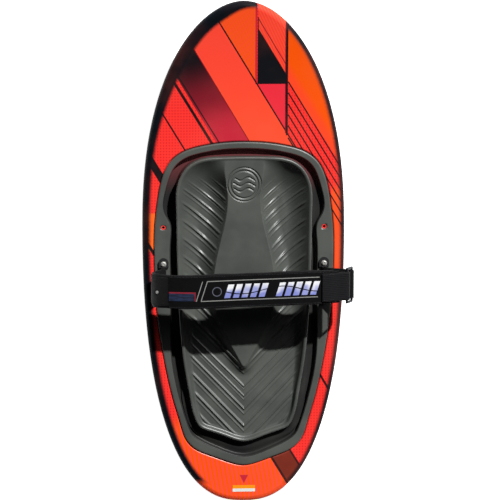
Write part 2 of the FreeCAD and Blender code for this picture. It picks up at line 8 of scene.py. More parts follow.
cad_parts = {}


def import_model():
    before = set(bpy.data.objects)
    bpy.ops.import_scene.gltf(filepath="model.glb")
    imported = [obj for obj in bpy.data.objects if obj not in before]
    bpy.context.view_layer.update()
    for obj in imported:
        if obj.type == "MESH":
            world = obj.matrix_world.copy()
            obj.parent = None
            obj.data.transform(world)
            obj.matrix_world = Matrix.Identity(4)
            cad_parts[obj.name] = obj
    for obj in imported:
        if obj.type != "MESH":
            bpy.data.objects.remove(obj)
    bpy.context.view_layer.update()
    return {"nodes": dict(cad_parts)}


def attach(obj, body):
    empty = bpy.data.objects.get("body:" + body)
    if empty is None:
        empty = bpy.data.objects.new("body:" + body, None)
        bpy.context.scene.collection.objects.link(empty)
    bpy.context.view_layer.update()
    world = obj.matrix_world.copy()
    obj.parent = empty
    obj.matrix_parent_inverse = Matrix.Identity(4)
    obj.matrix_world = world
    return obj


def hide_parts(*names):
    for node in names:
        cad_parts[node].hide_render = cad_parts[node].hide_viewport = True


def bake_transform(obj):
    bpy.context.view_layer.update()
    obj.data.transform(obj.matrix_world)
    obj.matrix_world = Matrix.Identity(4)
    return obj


# Looks of a kneeboard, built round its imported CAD. Lengths are in millimetres, in the CAD frame (+Y nose,
# +X right, +Z up), and become metres where they enter Blender.

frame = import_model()
NODES = frame["nodes"]
MM = 0.001

# Board
LENGTH = 1295.0
WIDTH = 516.0
WIDEST_Y = 60.0
LENGTH_POWER = 2.3  # half width = WIDTH / 2 * (1 - t ** LENGTH_POWER) ** (NOSE_ or TAIL_POWER),
NOSE_POWER = 0.53  # where t runs from 0 at the widest place to 1 at the end
TAIL_POWER = 0.405

# Knee pad
FLANGE_HALF = [
    (0, 290), (60, 287), (114, 278), (158, 263), (187, 240), (206, 205), (216, 165), (222, 125),
    (227, 80), (229, 10), (227, -80), (220, -170), (203, -278), (181, -378), (162, -444),
    (151, -477), (131, -502), (84, -525), (38, -542), (0, -550),
]
CHANNEL_HALF = [
    (0, 272), (60, 269), (112, 260), (150, 247), (176, 224), (190, 192), (200, 155), (203, 125),
    (197, 104), (187, 86), (185, 40), (185, -60), (186, -160), (184, -262), (162, -378),
    (142, -444), (131, -467), (110, -484), (60, -508), (0, -525),
]
CREST_HALF = [
    (0, 250), (60, 249), (108, 244), (138, 229), (158, 203), (168, 170), (169, 125), (168, 60),
    (167, -20), (164, -120), (158, -210), (149, -290), (137, -359), (121, -428), (112, -443),
    (90, -454), (45, -470), (0, -483),
]
RIDGE_HALF = [
    (0, 275), (34, 268), (50, 230), (44, 180), (42, 140), (48, 90), (60, 40), (72, -15),
    (79, -75), (73, -140), (50, -200), (28, -242), (10, -275), (0, -288),
]
FLANGE_TOP = 67.0
FLANGE_LOW = 58.0
CHANNEL_FLOOR_Z = 50.0
PAD_LOW = 40.5
CREST_Z = (88.0, 72.0)
CREST_FALL_Y = (0.0, -480.0)
WELL_FLOOR_Z = (50.0, 62.0)
WELL_RISE_Y = (-80.0, -380.0)
SPINE_Y = (-330.0, 120.0)  # ends of the middle line that the rings inside the crest shrink to
PAD_BODY_GROW = 3.5  # the body under the flange stands this far out of the channel's edge
FLANGE_ROUND = 3.6
CHANNEL_LIP = 3.2  # height of the channel's rounded upper edge
CHANNEL_FILLET = 3.6
CREST_HALF_WIDTH = 3.8
CREST_ROUND = 2.6
CREST_INNER_DROP = 1.5  # the crest's inner edge is this much lower than its top
CREST_FOOT = 5.0  # how far out of the crest the foot of its outer wall lies
TAIL_SPREAD = 15.0  # how much further out that foot lies at the tail
TAIL_RISE = 0.35  # the channel's floor rises there by this share of the spread
COVE_EXTRA = 6.0  # a cove's basic run is its height and this much more
WALL_COVE = 1.25  # the run of the cove by the wall, as a share of the basic run
WALL_COVE_NOSE = 0.6  # added to that share at the nose
WALL_COVE_TAIL = 0.7  # the part of it that is lost at the tail
RIDGE_COVE = 1.1  # the same for the cove by the ridge
RIDGE_COVE_NOSE = 0.2
RIDGE_COVE_TAIL = 0.4  # added at the tail
HOLE_X = 205.0
HOLE_YS = (-114.0, -21.0, 72.0)
HOLE_R = 6.5
COLLAR_PROFILE = [  # radius and height of the ring round a spare insert
    (4.6, 58.05), (6.2, 58.05), (6.2, 65.6), (5.8, 66.2),
    (3.9, 66.2), (3.5, 65.8), (3.5, 62.0), (4.6, 61.0),
]

# Ribs and emblem on the pad
RIB_LINES = np.array([  # where each rib meets the middle line
    190, 160, 134, 108, 78, 48, 8, -41, -90, -139,
    -188, -237, -290, -343, -367, -400, -445, -492, -540, -590,
])
RIB_SLOPE = 0.846  # how far a rib runs towards the nose for each millimetre outwards
RIB_FAN = 0.00046  # how much the ribs close up outwards
RIB_PHASE = 0.86  # the place in a rib's profile that lies on its line
RIB_PROFILE = [(0.0, 0.0), (0.72, -0.7), (0.79, -0.3), (0.91, 3.5), (0.93, 3.5), (1.0, 0.0)]
RIB_SECOND = [(0.0, 0.0), (0.12, 0.0), (0.24, 1.5), (0.29, 0.0), (1.0, 0.0)]
RIB_DROP = 0.6  # the whole ribbed floor is this much lower
FULL_PITCH = 48.0  # ribs closer together than this are lower in proportion
EMBLEM = (0.0, 184.0, 35.0)  # place and radius of the plain round emblem
EMBLEM_WAVES = (-14.0, 0.0, 14.0)
EMBLEM_DEPTH = 2.2

# Mesh sizes
PAD_COUNT = 1080  # points round the pad
WELL_RINGS = 130
ROUND_SIDES = 48

# Strap
ANCHOR = (205.0, -67.5, 74.0)
BAR_LOOP_R = 5.1
WEB = 2.4
WEB_HALF = 36.0
STRAP_SKEW = [  # the strap lies a little askew: its middle's x and y
    (-240, -74.5), (-205, -74.5), (-150, -75.5), (0, -69.5), (150, -65.5), (250, -64.5),
]
ARCH = [
    (-205, 80), (-213, 91), (-226, 107), (-235.5, 127), (-236, 144), (-225, 161), (-200, 173.5),
    (-150, 184), (-75, 189), (0, 190.5), (75, 190), (150, 187), (205, 180.5), (235, 170.5),
    (252.9, 161.7),
]
RIGHT_LEG = [(205, 80), (212, 90), (226, 102), (246, 115), (261, 129), (266.5, 138)]
RING_UPPER = (255.0, 166.0)
RING_LOWER = (269.0, 144.0)
RING_Y = -64.5
RING_WRAP_R = 4.8


# ---- colours and node graphs ----

def rgb(red, green, blue):
    """Linear colour from 8-bit display values."""
    linear = []
    for value in (red, green, blue):
        v = value / 255
        linear.append(v / 12.92 if v <= 0.04045 else ((v + 0.055) / 1.055) ** 2.4)
    return (*linear, 1.0)


def arithmetic(operation, turned=False):
    """A method that makes a node of this operation, with its two numbers turned round or not."""
    if turned:
        return lambda self, other: self.graph.math(operation, other, self)
    return lambda self, other: self.graph.math(operation, self, other)


class Value:
    """A number in a node graph that takes part in ordinary arithmetic."""

    def __init__(self, graph, socket):
        self.graph = graph
        self.socket = socket

    __add__ = arithmetic("ADD")
    __radd__ = arithmetic("ADD", turned=True)
    __sub__ = arithmetic("SUBTRACT")
    __rsub__ = arithmetic("SUBTRACT", turned=True)
    __mul__ = arithmetic("MULTIPLY")
    __rmul__ = arithmetic("MULTIPLY", turned=True)
    __truediv__ = arithmetic("DIVIDE")
    __rtruediv__ = arithmetic("DIVIDE", turned=True)
    __pow__ = arithmetic("POWER")

    def __abs__(self):
        return self.graph.math("ABSOLUTE", self)


class Graph:
    """A material and short ways to build its nodes. Its coordinates are in millimetres."""

    def __init__(self, name, by_uv=False):
        self.material = bpy.data.materials.new(name)
        self.material.use_nodes = True
        self.tree = self.material.node_tree
        self.shader = self.tree.nodes["Principled BSDF"]
        place = self.node("TexCoord", {})["UV" if by_uv else "Object"]
        self.place = self.node("VectorMath", {0: place, "Scale": 1 / MM}, operation="SCALE")[0]
        self.x, self.y, self.z = (Value(self, out) for out in self.node("SeparateXYZ", {0: self.place}))

    def feed(self, socket, value):
        if isinstance(value, Value):
            value = value.socket
        if isinstance(value, bpy.types.NodeSocket):
            self.tree.links.new(value, socket)
        else:
            socket.default_value = value

    def node(self, kind, inputs, **settings):
        """The outputs of a new node, with its inputs fed by name or number."""
        node = self.tree.nodes.new("ShaderNode" + kind)
        for name, value in settings.items():
            setattr(node, name, value)
        for name, value in inputs.items():
            self.feed(node.inputs[name], value)
        return node.outputs

    def math(self, operation, *values):
        return Value(self, self.node("Math", dict(enumerate(values)), operation=operation)[0])

    def least(self, *values):
        return reduce(lambda a, b: self.math("MINIMUM", a, b), values)

    def most(self, *values):
        return reduce(lambda a, b: self.math("MAXIMUM", a, b), values)

    def smooth(self, value, low, high):
        """0 before low, 1 past high, and a smooth step between them; low may be the larger."""
        inputs = {"Value": value, "From Min": low, "From Max": high}
        return Value(self, self.node("MapRange", inputs, interpolation_type="SMOOTHSTEP")["Result"])

    def along(self, direction, offset=0.0):
        """Distance along a direction in the plane of x and y."""
        inputs = {0: self.place, 1: (*direction, 0.0)}
        return Value(self, self.node("VectorMath", inputs, operation="DOT_PRODUCT")["Value"]) - offset

    def side_of(self, a, b):
        """Signed distance from the line through a and b, positive on its left."""
        size = math.dist(a, b)
        normal = (-(b[1] - a[1]) / size, (b[0] - a[0]) / size)
        return self.along(normal, normal[0] * a[0] + normal[1] * a[1])

    def polygon(self, points, soft=0.5):
        """Mask of a convex polygon whose corners run anticlockwise."""
        depth = self.least(*(self.side_of(a, b) for a, b in zip(points, points[1:] + points[:1])))
        return self.smooth(depth, -soft, soft)

    def stroke(self, a, b, width, soft=0.5):
        """Mask of a straight line of some width."""
        size = math.dist(a, b)
        way = ((b[0] - a[0]) / size, (b[1] - a[1]) / size)
        ends = self.along(way, way[0] * a[0] + way[1] * a[1])
        depth = self.least(width / 2 - abs(self.side_of(a, b)), ends, size - ends)
        return self.smooth(depth, -soft, soft)

    def wave(self, value, pitch):
        """A sine of a distance, from -1 to 1."""
        return self.math("SINE", value * (2 * math.pi / pitch))

    def noise(self, size, detail=3.0, roughness=0.5, stretch=(1, 1, 1)):
        inputs = {0: self.place, 1: tuple(value / size for value in stretch)}
        place = self.node("VectorMath", inputs, operation="MULTIPLY")[0]
        inputs = {"Vector": place, "Scale": 1.0, "Detail": detail, "Roughness": roughness}
        return Value(self, self.node("TexNoise", inputs)["Fac"])

    def cells(self, size):
        """Distance to the nearest point of a random lattice, in cell sizes."""
        inputs = {"Vector": self.place, "Scale": 1 / size}
        return Value(self, self.node("TexVoronoi", inputs)["Distance"])

    def mix(self, first, second, amount):
        return self.node("Mix", {"Factor": amount, 6: first, 7: second}, data_type="RGBA")[2]

    def blend(self, first, second, amount):
        """Between two numbers, by an amount."""
        return first + (second - first) * amount

    def finish(self, colour, roughness, height=None, depth=0.0, **sockets):
        """Sets the shader; height, from 0 to 1, becomes a bump that is depth deep."""
        self.feed(self.shader.inputs["Base Color"], colour)
        self.feed(self.shader.inputs["Roughness"], roughness)
        if height is not None:
            inputs = {"Strength": 1.0, "Distance": depth * MM, "Height": height}
            self.feed(self.shader.inputs["Normal"], self.node("Bump", inputs)["Normal"])
        for name, value in sockets.items():
            self.feed(self.shader.inputs[name.replace("_", " ")], value)
        return self.material


# ---- deck print ----

RED = rgb(252, 52, 46)
DEEP_RED = rgb(214, 28, 30)
ORANGE = rgb(250, 84, 0)
WARM_RED = rgb(255, 78, 46)
CRIMSON = rgb(196, 36, 56)
INK = rgb(14, 15, 20)
RIM_INK = rgb(8, 15, 21)
DOT_PITCH = 14.8
DIAGONAL = (0.521, -0.853)  # way of the printed diagonals, towards the tail and the right
DIAGONAL_TOPS = (443, 415, 386, 359, 331, 300)  # where the row of thin diagonals starts
BLOCK = ((73, -533), (113, -600), (146, -556), (119, -512))  # points on the tail block's long sides


def rim_distance(g):
    """Distance in from the board's outline, good near the outline."""
    ahead = g.y - WIDEST_Y
    front = g.smooth(ahead, -0.01, 0.01)
    reach = g.blend(LENGTH / 2 + WIDEST_Y, LENGTH / 2 - WIDEST_Y, front)
    power = 1 / g.blend(TAIL_POWER, NOSE_POWER, front)
    t = abs(ahead) / reach
    s = abs(g.x) / (WIDTH / 2)
    level = t ** LENGTH_POWER + s ** power
    slope_t = LENGTH_POWER * t ** (LENGTH_POWER - 1) / reach
    slope_s = power * s ** (power - 1) / (WIDTH / 2)
    return (1 - level) / (slope_t * slope_t + slope_s * slope_s) ** 0.5


def beyond(a, length):
    """The point a given length from a along the printed diagonals."""
    return a[0] + DIAGONAL[0] * length, a[1] + DIAGONAL[1] * length


def base_paint(g):
    """Red, with darker dots."""
    dots = g.wave(g.x + g.y, DOT_PITCH) * g.wave(g.x - g.y, DOT_PITCH)
    return g.mix(RED, DEEP_RED, g.smooth(dots, 0.3, 0.7) * 0.85)


def nose_paint(g, paint):
    """The nose: a plain band, two striped panels, a dark band that turns red and a small triangle."""
    plain = g.polygon([(-126, 526), (14, 292), (170, 212), (-62, 593), (-110, 640)])
    paint = g.mix(paint, g.mix(rgb(255, 72, 52), WARM_RED, g.smooth(g.y, 520, 300)), plain)
    stripes = g.smooth(g.wave(g.along((0.906, 0.423)), 6.6), -0.5, 0.5)
    left_panel = g.polygon([(-62, 593), (31, 439), (31, 660), (-62, 660)])
    paint = g.mix(paint, g.mix(ORANGE, WARM_RED, stripes), left_panel)
    right_panel = g.polygon([(36, 660), (36, 437), (110, 437), (110, 660)])
    paint = g.mix(paint, g.mix(rgb(250, 60, 50), WARM_RED, stripes), right_panel)
    shade = g.smooth(g.along(DIAGONAL, -500) - g.x * 0.25, 10, 250)
    band = g.mix(g.mix(INK, rgb(128, 24, 38), g.smooth(shade, 0.0, 0.55)), CRIMSON, g.smooth(shade, 0.5, 1.0))
    paint = g.mix(paint, band, g.polygon([(-174, 462), (-66, 281), (20, 281), (-126, 526), (-200, 520)]))
    return g.mix(paint, rgb(238, 46, 62), g.polygon([(36, 437), (110, 313), (110, 437)]))


def side_paint(g, paint):
    """The orange wedge on the right, and a strip of warmer red along each side."""
    depth = g.side_of((112, 443), (215, 281))
    wedge = g.smooth(depth, -0.5, 0.5) * g.smooth(g.x, 111, 112) * g.smooth(g.y, -10, 10)
    paint = g.mix(paint, g.mix(rgb(255, 72, 34), ORANGE, g.smooth(depth, 8, 34)), wedge)
    right_strip = g.smooth(g.x, 222, 224) * g.smooth(g.y, -60, -20) * g.smooth(g.y, 190, 150)
    paint = g.mix(paint, rgb(255, 84, 34), right_strip)
    left_strip = g.smooth(g.x, -222, -224) * g.smooth(g.y, 8, 12) * g.smooth(g.y, 112, 104)
    return g.mix(paint, rgb(255, 102, 30), left_strip)


def tail_paint(g, paint):
    """The tail: orange that turns striped, a dark slanted block and a small triangle."""
    stripes = g.smooth(g.wave(g.along((0.985, 0.174)), 11.0), -0.4, 0.6) * g.smooth(g.y, -400, -470)
    left_of_block = g.smooth(g.side_of(BLOCK[1], BLOCK[0]), -0.5, 0.5)
    tail_side = left_of_block * g.smooth(g.x * 0.6 - g.y, 300, 360)
    paint = g.mix(paint, g.mix(ORANGE, rgb(255, 78, 60), stripes), tail_side)
    block = g.polygon([BLOCK[0], BLOCK[1], beyond(BLOCK[1], 60), beyond(BLOCK[2], 60),
                       BLOCK[3], beyond(BLOCK[3], -60), beyond(BLOCK[0], -60)])
    paint = g.mix(paint, g.mix(rgb(96, 30, 22), rgb(128, 46, 28), g.noise(40)), block)
    return g.mix(paint, CRIMSON, g.polygon([(-11, -577), (0, -599), (11, -577)]))


def line_paint(g, paint):
    """The printed lines, and the dark triangle over them at the nose."""
    strokes = [
        (CRIMSON, (30.5, 660), (30.5, 437), 4.0),
        (INK, (35.5, 607), (35.5, 437), 2.4),
        (rgb(130, 20, 34), (37, 602), (106, 487), 2.2),
        (INK, (-70, 606), beyond((-70, 606), 480), 3.6),
        (rgb(120, 20, 30), (-126, 526), (20, 281), 2.2),
        (INK, (-176, 474), beyond((-176, 474), 235), 3.2),
        (INK, (-184, 455), beyond((-184, 455), 220), 7.2),
        (INK, (-216, 379), beyond((-216, 379), 130), 4.0),
        (INK, (-248, 262), (-200, 182), 19.0),
        (INK, (-246, 32), (-222, -8), 8.0),
        (INK, (188, -300), (226, -366), 5.6),
        (INK, beyond(BLOCK[0], -60), beyond(BLOCK[1], 60), 6.0),
        (INK, beyond(BLOCK[3], -60), beyond(BLOCK[2], 60), 5.0),
        (rgb(120, 16, 30), (105.6, 600), (105.6, 312), 2.6),
        (INK, (109, 600), (109, 306), 5.0),
    ]
    strokes += [(INK, (112, top), beyond((112, top), 320), 3.4) for top in DIAGONAL_TOPS]
    for colour, start, end, width in strokes:
        paint = g.mix(paint, colour, g.stroke(start, end, width))
    return g.mix(paint, INK, g.polygon([(35, 580), (36, 437), (111, 437), (106, 464)]))


def deck_material():
    """The printed skin under a clear coat, with a dark sprayed rim that is wider on the left and the nose."""
    g = Graph("deck_print")
    paint = line_paint(g, tail_paint(g, side_paint(g, nose_paint(g, base_paint(g)))))
    distance = rim_distance(g)
    left = g.smooth(g.x, 40, -60)
    nose_left = left * g.smooth(g.y, 250, 520)
    width = 12.0 + 7.0 * left + 14.0 * nose_left
    faded = g.smooth(width + (g.noise(5) - 0.5) * 3 - distance, -7, 5)
    open_nose = g.smooth(g.x, 33, 34) * g.smooth(g.x, 108, 107) * g.smooth(g.y, 300, 310)
    open_tail = g.smooth(g.y, -585, -605) * g.smooth(distance, -2, 3)
    paint = g.mix(paint, RIM_INK, faded * (1 - g.most(open_nose, open_tail)))
    wear = g.smooth(g.noise(220, 4), 0.4, 0.7)
    paint = g.mix(paint, rgb(255, 120, 96), wear * 0.06)
    grain = g.noise(1.6, 2) * 0.5 + g.noise(9, 2) * 0.5
    return g.finish(paint, 0.34 + wear * 0.08 + faded * 0.2, grain, 0.05, Coat_Roughness=0.32,
                    Coat_Weight=0.3 - faded * 0.3, Specular_IOR_Level=0.35 - faded * 0.28)


# ---- plain materials ----

def hull_material():
    g = Graph("hull_black")
    scuffs = g.smooth(g.noise(60, detail=6, roughness=0.7, stretch=(4, 0.4, 1)), 0.58, 0.7)
    colour = g.mix(rgb(20, 23, 28), rgb(64, 68, 74), scuffs * 0.35)
    return g.finish(colour, 0.46 + scuffs * 0.25, g.noise(2.2), 0.05, Specular_IOR_Level=0.12)


def foam_skin(g, colour, gloss):
    """Satin skin with a fine grain."""
    grain = g.cells(1.7) * 0.6 + g.noise(0.8, 2) * 0.4
    return g.finish(colour, 0.38 + g.noise(14) * 0.08, grain, 0.1, Specular_IOR_Level=gloss)


def pad_material():
    """Moulded foam, a little dusty."""
    g = Graph("pad_foam")
    colour = g.mix(rgb(70, 73, 69), rgb(82, 85, 80), g.smooth(g.noise(90, 4), 0.35, 0.7))
    return foam_skin(g, colour, 0.85)


def shaded_channel_material():
    """The same foam in the channel, painted darker as shade in the recess; towards the nose it turns warmer
    and lighter, painted light over the flange's shadow there.
    """
    g = Graph("pad_foam_channel_painted_shade")
    # painted shade: a darker grey than the pad, for the shade in the recess
    colour = g.mix(rgb(38, 38, 38), rgb(48, 48, 46), g.smooth(g.noise(90, 4), 0.35, 0.7))
    # painted light: the warmer nose end is lighter, standing in for light over the flange's shadow
    return foam_skin(g, g.mix(colour, rgb(92, 48, 50), g.smooth(g.y, 150, 230)), 0.2)


def core_material(name, light, dark, patch, roughness, cell, depth):
    """Bare foam, with its open cells."""
    g = Graph(name)
    return g.finish(g.mix(light, dark, g.noise(patch)), roughness, g.cells(cell), depth)


def brass_material():
    g = Graph("insert_brass")
    turned = g.wave(g.z + g.noise(3) * 0.6, 0.5) * 0.5 + 0.5
    colour = g.mix(rgb(196, 160, 92), rgb(150, 116, 62), g.noise(2.4))
    return g.finish(colour, 0.3 + g.noise(1.2) * 0.2, turned, 0.05, Metallic=1.0)


def steel_material():
    g = Graph("stainless")
    brushed = g.noise(1.2, roughness=0.6, stretch=(6, 0.6, 0.6))
    colour = g.mix(rgb(226, 226, 220), rgb(186, 186, 182), g.noise(2.0))
    return g.finish(colour, 0.42 + brushed * 0.2, brushed, 0.03, Metallic=0.85)


def bar_material():
    g = Graph("bar_nylon")
    colour = g.mix(rgb(22, 22, 24), rgb(36, 36, 38), g.noise(5))
    return g.finish(colour, 0.42 + g.noise(3) * 0.15, g.noise(0.9), 0.08)


def ring_material():
    g = Graph("ring_acetal")
    colour = g.mix(rgb(7, 9, 13), rgb(13, 17, 24), g.noise(9))
    return g.finish(colour, 0.36 + g.noise(4) * 0.12, g.noise(1.4), 0.04, Specular_IOR_Level=0.35)


def label_material():
    """The tail label: a plain warm field above a plain pale one."""
    g = Graph("deck_label_print")
    upper = g.smooth(g.y, -613.2, -612.6)
    colour = g.mix(rgb(232, 234, 232), rgb(250, 150, 24), upper)
    rule = g.smooth(abs(g.y + 617), 1.2, 0.8) * g.smooth(abs(g.x), 24, 23)
    colour = g.mix(colour, rgb(196, 200, 204), rule * 0.5)
    return g.finish(colour, 0.28 + g.noise(6) * 0.06, g.noise(3), 0.03, Coat_Weight=0.4)


def collar_material():
    g = Graph("collar_red")
    colour = g.mix(rgb(255, 84, 78), rgb(226, 40, 40), g.noise(4))
    return g.finish(colour, 0.35 + g.noise(3) * 0.1, g.noise(1.5), 0.04)


# ---- fabric materials, by distance along (x) and across (y) each strip ----

FABRIC = {"Specular_IOR_Level": 0.2, "Sheen_Weight": 0.02}


def webbing_material():
    """Nylon webbing: ribs across the strip, crossed by the warp."""
    g = Graph("webbing_nylon", by_uv=True)
    warp = g.wave(g.y, 1.6)
    weft = g.wave(g.x + g.smooth(warp, -0.3, 0.3) * 0.9, 1.8)
    weave = (weft * 0.35 + warp * 0.2) + 0.5
    edge = g.smooth(abs(g.y), 33.0, 34.5)
    colour = g.mix(rgb(4, 4, 5), rgb(14, 14, 17), g.smooth(weave, 0.35, 0.9) * 0.6 + g.noise(30) * 0.25)
    colour = g.mix(colour, rgb(10, 10, 12), edge)
    return g.finish(colour, 0.68 + g.noise(12) * 0.12, weave, 0.35, **FABRIC)


def tail_material():
    """The free end: the same webbing, with bolder ribs along it."""
    g = Graph("webbing_tail", by_uv=True)
    ribs = g.wave(g.y, 4.6)
    weft = g.wave(g.x + g.smooth(ribs, -0.3, 0.3) * 0.9, 1.8)
    weave = (ribs * 0.35 + weft * 0.15) + 0.5
    colour = g.mix(rgb(4, 4, 6), rgb(20, 21, 25), g.smooth(weave, 0.45, 0.95) * 0.8)
    return g.finish(colour, 0.6 + g.noise(12) * 0.1, weave, 0.4, **FABRIC)


def neoprene_material():
    g = Graph("neoprene_knit", by_uv=True)
    knit = g.wave(g.x, 0.9) * g.wave(g.y, 1.3) * 0.5 + 0.5
    creases = g.noise(26, detail=4, roughness=0.6, stretch=(1, 0.35, 1))
    colour = g.mix(rgb(4, 4, 6), rgb(12, 12, 15), g.noise(18, 4))
    return g.finish(colour, 0.7 + g.noise(9) * 0.1, knit * 0.12 + creases, 0.9, **FABRIC)


def cover_material():
    """Smooth knit with a printed panel: silver lines, a ring and slanted bars that a wave cuts."""
    g = Graph("cover_knit", by_uv=True)
    knit = g.wave(g.x, 0.8) * g.wave(g.y, 1.1) * 0.5 + 0.5
    colour = g.mix(rgb(2, 2, 3), rgb(8, 8, 10), g.noise(24, 4))
    silver = rgb(150, 150, 146)
    frame_lines = [
        ((-98, 27), (184, 27)), ((-114, -23), (180, -23)),
        ((-98, 27), (-114, -23)), ((-110, 27), (-126, -23)),
    ]
    for start, end in frame_lines:
        colour = g.mix(colour, silver, g.stroke(start, end, 1.9, 0.4))
    radius = ((g.x + 74) ** 2 + g.y ** 2) ** 0.5
    colour = g.mix(colour, rgb(96, 98, 110), g.smooth(abs(radius - 11), 1.3, 0.7))
    slant = g.x - g.y * 0.32
    cell = g.math("FRACT", (slant + 54) / 21.6)
    bars = g.smooth(abs(cell - 0.5), 0.36, 0.33)
    split = g.smooth(abs(g.y - g.wave(slant - 40, 190) * 8), 0.9, 1.5)
    field = g.smooth(abs(slant - 64.8), 119, 118.6) * g.smooth(abs(g.y), 17.4, 16.8)
    space = g.smooth(abs(slant - 64.8), 10.0, 10.8)
    ink = g.mix(rgb(132, 140, 206), rgb(238, 238, 240), g.smooth(g.noise(46, 2) + g.y * 0.016, 0.35, 0.75))
    colour = g.mix(colour, ink, bars * split * field * space)
    creases = g.noise(34, stretch=(1, 0.4, 1))
    return g.finish(colour, 0.65 + g.noise(14) * 0.12, knit * 0.1 + creases, 1.0, Specular_IOR_Level=0.12,
                    Sheen_Weight=0.01)


def pile_material(name, light):
    """Loop pile, or the hook side of the fastener."""
    g = Graph(name, by_uv=True)
    pile = g.cells(1.1)
    colour = g.mix(rgb(16, 16, 18), rgb(*light), g.smooth(pile, 0.2, 0.8))
    return g.finish(colour, 0.85, pile, 0.7, Specular_IOR_Level=0.2, Sheen_Weight=0.08)


def label_weave_material():
    """The woven label: blue, with a red edge above and at its right end."""
    g = Graph("label_woven", by_uv=True)
    weave = g.wave(g.x, 0.9) * g.wave(g.y, 0.9) * 0.5 + 0.5
    cloud = g.smooth(g.noise(9, stretch=(0.4, 2, 1)), 0.35, 0.65)
    colour = g.mix(rgb(30, 46, 78), rgb(14, 20, 38), cloud)
    red = g.most(g.smooth(g.y, 7.6, 8.0), g.smooth(g.x, 30.2, 30.8))
    colour = g.mix(colour, rgb(128, 18, 38), red)
    return g.finish(colour, 0.6 + weave * 0.1, weave, 0.2, Specular_IOR_Level=0.3)


def thread_material():
    g = Graph("thread")
    colour = g.mix(rgb(30, 30, 33), rgb(56, 56, 60), g.noise(3))
    return g.finish(colour, 0.6 + g.noise(1) * 0.1, g.noise(0.5), 0.1)


# ---- curves ----

def spline_values(knots, values, closed, at):
    """Cubic spline through values at rising knots, evaluated at the given places."""
    count = len(knots)
    values = np.asarray(values, float)
    steps = np.diff(knots)
    system = np.zeros((count, count))
    right = np.zeros(values.shape)
    for i in range(1, count - 1):
        system[i, i - 1:i + 2] = steps[i - 1], 2 * (steps[i - 1] + steps[i]), steps[i]
        right[i] = 6 * ((values[i + 1] - values[i]) / steps[i] - (values[i] - values[i - 1]) / steps[i - 1])
    if closed:
        system[0, 0], system[0, -1] = 1, -1
        system[-1, 0], system[-1, 1] = 2 * steps[0], steps[0]
        system[-1, -2], system[-1, -1] = steps[-1], 2 * steps[-1]
        right[-1] = 6 * ((values[1] - values[0]) / steps[0] - (values[-1] - values[-2]) / steps[-1])
    else:
        system[0, 0] = system[-1, -1] = 1
    bend = np.linalg.solve(system, right)
    index = np.clip(np.searchsorted(knots, at, side="right") - 1, 0, count - 2)
    step = steps[index][:, None]
    before = ((np.asarray(at) - knots[index])[:, None]) / step
    after = 1 - before
    return (after * values[index] + before * values[index + 1]
            + ((after ** 3 - after) * bend[index] + (before ** 3 - before) * bend[index + 1]) * step ** 2 / 6)


def smooth_line(points, count, closed=False):
    """Points evenly spaced along a smooth curve through the given ones."""
    points = np.asarray(points, float)
    if closed:
        points = np.vstack([points, points[:1]])
    knots = np.concatenate([[0], np.cumsum(np.linalg.norm(np.diff(points, axis=0), axis=1))])
    fine = spline_values(knots, points, closed, np.linspace(0, knots[-1], 12 * count))
    run = np.concatenate([[0], np.cumsum(np.linalg.norm(np.diff(fine, axis=0), axis=1))])
    places = np.linspace(0, run[-1], count + 1)[:-1] if closed else np.linspace(0, run[-1], count)
    return np.stack([np.interp(places, run, fine[:, k]) for k in range(points.shape[1])], axis=1)


def both_halves(half):
    """A closed outline from its right half, given from the nose side."""
    return half + [(-x, y) for x, y in reversed(half[1:-1])]


def offset(outline, distance):
    """A dense closed outline, running clockwise from the nose, moved outwards."""
    ahead = np.roll(outline, -1, axis=0) - np.roll(outline, 1, axis=0)
    ahead /= np.linalg.norm(ahead, axis=1)[:, None]
    normal = np.stack([-ahead[:, 1], ahead[:, 0]], axis=1)
    return outline + normal * distance


def distance_to(outline, points):
    """Distance of each point from a dense closed outline."""
    best = np.full(len(points), np.inf)
    for i in range(0, len(outline), 400):
        part = outline[i:i + 400]
        best = np.minimum(best, np.linalg.norm(points[:, None] - part[None], axis=2).min(axis=1))
    return best


def inside(outline, points):
    """Whether each point lies inside a closed outline."""
    count = np.zeros(len(points), int)
    after = np.roll(outline, -1, axis=0)
    for (ax, ay), (bx, by) in zip(outline, after):
        if ay == by:
            continue
        crossing = (ay > points[:, 1]) != (by > points[:, 1])
        count += crossing & (points[:, 0] < ax + (points[:, 1] - ay) * (bx - ax) / (by - ay))
    return count % 2 == 1


def ramp(value, start, end):
    """0 before start, 1 after end, and a straight line between them."""
    return np.clip((value - start) / (end - start), 0, 1)


def smoothstep(value, start, end):
    """0 before start, 1 after end, and a smooth step between them."""
    t = ramp(value, start, end)
    return t * t * (3 - 2 * t)


# ---- meshes ----

def add_object(name, data):
    piece = bpy.data.objects.new(name, data)
    bpy.context.collection.objects.link(piece)
    return piece


def add_mesh(name, vertices, faces, material, uv=None, sharp=50.0):
    """A smooth-shaded object from millimetres; uv gives one pair for each vertex."""
    mesh = bpy.data.meshes.new(name)
    mesh.from_pydata((np.asarray(vertices) * MM).tolist(), [], [tuple(map(int, face)) for face in faces])
    mesh.polygons.foreach_set("use_smooth", [True] * len(mesh.polygons))
    mesh.set_sharp_from_angle(angle=math.radians(sharp))
    if uv is not None:
        layer = mesh.uv_layers.new(name="UVMap")
        corners = np.zeros(len(mesh.loops), int)
        mesh.loops.foreach_get("vertex_index", corners)
        layer.data.foreach_set("uv", (np.asarray(uv)[corners] * MM).ravel())
    mesh.materials.append(material)
    mesh.update()
    return add_object(name, mesh)


